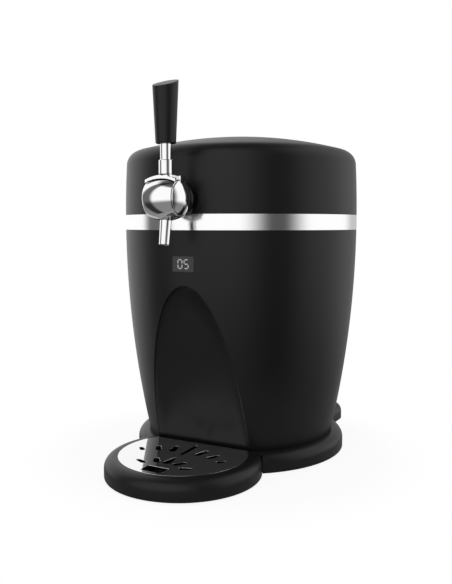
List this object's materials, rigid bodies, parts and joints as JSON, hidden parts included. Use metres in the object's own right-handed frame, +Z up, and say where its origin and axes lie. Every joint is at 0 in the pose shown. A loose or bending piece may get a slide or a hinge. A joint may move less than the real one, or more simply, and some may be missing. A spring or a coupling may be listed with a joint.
{
  "type": "mini keg beer dispenser",
  "caption": "Countertop cooler and tap for a five litre keg: barrel housing with a hinged lid, steel band, tap with a pull lever, digital display and pull-out drip tray",
  "frame": {"origin": "on the resting plane, under the centre foot, on the axis of the round housing", "axes": "+Z up, the tap and the drip tray face -Y, +X to the right seen from the front"},
  "size_m": [0.281, 0.4047, 0.4199],
  "materials": {
    "lower_shell": "fine matt",
    "recess_panel": "fine matt",
    "steel_band": "satin",
    "upper_shell": "fine matt",
    "lid_hinge_pin": "satin",
    "base_housing": "fine matt",
    "base_cover": "fine matt",
    "rubber_feet": "plain",
    "base_screws": "satin",
    "drip_tray": "smooth gloss",
    "drip_grille": "satin",
    "lid_shell": "fine matt",
    "lid_liner": "fine matt",
    "lid_insulation": "fine matt",
    "lid_seal": "plain",
    "chamber_collar": "fine matt",
    "keg_well": "plain mill",
    "well_insulation": "fine matt",
    "cold_block": "plain mill",
    "peltier_module": "fine matt",
    "heat_sink": "plain mill",
    "fan_frame": "fine matt",
    "fan_rotor": "fine matt",
    "rear_cover": "fine matt",
    "cover_screws": "satin",
    "power_inlet": "fine matt",
    "switch_frame": "fine matt",
    "switch_rocker": "smooth gloss",
    "power_board": "fine matt",
    "display_window": "smooth gloss",
    "display_digits": "fine matt",
    "display_board": "fine matt",
    "tap_body": "polished",
    "tap_cap_left": "polished",
    "tap_cap_right": "polished",
    "tap_spout": "polished",
    "lever_pivot_pin": "satin",
    "tap_collar": "polished",
    "tap_escutcheon": "smooth gloss",
    "tap_shank": "satin",
    "shank_nut": "plain",
    "shank_gasket": "plain",
    "beer_hose": "plain",
    "lever_saddle": "polished",
    "lever_stem": "polished",
    "lever_rod": "polished",
    "tap_handle": "fine matt",
    "valve_plunger": "satin",
    "valve_seal": "plain"
  },
  "bodies": {
    "housing": {"lower_shell": "lower_shell", "recess_panel": "recess_panel", "steel_band": "steel_band", "upper_shell": "upper_shell", "lid_hinge_pin": "lid_hinge_pin", "base_housing": "base_housing", "base_cover": "base_cover", "rubber_feet": "rubber_feet", "base_screws": "base_screws", "chamber_collar": "chamber_collar", "keg_well": "keg_well", "well_insulation": "well_insulation", "cold_block": "cold_block", "peltier_module": "peltier_module", "heat_sink": "heat_sink", "fan_frame": "fan_frame", "rear_cover": "rear_cover", "cover_screws": "cover_screws", "power_inlet": "power_inlet", "switch_frame": "switch_frame", "power_board": "power_board", "display_window": "display_window", "display_digits": "display_digits", "display_board": "display_board", "tap_body": "tap_body", "tap_spout": "tap_spout", "tap_collar": "tap_collar", "tap_escutcheon": "tap_escutcheon", "tap_shank": "tap_shank", "shank_nut": "shank_nut", "shank_gasket": "shank_gasket", "beer_hose": "beer_hose"},
    "lid": {"lid_shell": "lid_shell", "lid_liner": "lid_liner", "lid_insulation": "lid_insulation", "lid_seal": "lid_seal"},
    "lever": {"lever_saddle": "lever_saddle", "lever_stem": "lever_stem", "lever_rod": "lever_rod", "tap_handle": "tap_handle", "tap_cap_left": "tap_cap_left", "tap_cap_right": "tap_cap_right", "lever_pivot_pin": "lever_pivot_pin"},
    "valve": {"valve_plunger": "valve_plunger", "valve_seal": "valve_seal"},
    "tray": {"drip_tray": "drip_tray"},
    "grille": {"drip_grille": "drip_grille"},
    "fan": {"fan_rotor": "fan_rotor"},
    "switch": {"switch_rocker": "switch_rocker"}
  },
  "joints": [
    {"name": "lid_hinge", "type": "hinge", "parent": "housing", "child": "lid", "pos_m": [0, 0.1315, 0.36223], "axis": [-1, 0, 0], "range_deg": [0, 95]},
    {"name": "lever_pivot", "type": "hinge", "parent": "housing", "child": "lever", "pos_m": [0, -0.1718, 0.2996], "axis": [1, 0, 0], "range_deg": [0, 35]},
    {"name": "valve_slide", "type": "slide", "parent": "housing", "child": "valve", "axis": [0, 0, -1], "range_m": [0, 0.00306]},
    {"name": "tray_slide", "type": "slide", "parent": "housing", "child": "tray", "axis": [0, -1, 0], "range_m": [0, 0.08]},
    {"name": "grille_lift", "type": "slide", "parent": "tray", "child": "grille", "axis": [0, -0.11, 0.9939], "range_m": [0, 0.022]},
    {"name": "fan_spin", "type": "hinge", "parent": "housing", "child": "fan", "pos_m": [0, 0.1445, 0.15], "axis": [0, 1, 0], "continuous": true},
    {"name": "switch_rock", "type": "hinge", "parent": "housing", "child": "switch", "pos_m": [-0.028, 0.166, 0.052], "axis": [0, 0, -1], "range_deg": [0, 16]}
  ],
  "couplings": [
    {"joint": "valve_slide", "follows": "lever_pivot", "m_per_rad": 0.005}
  ]
}
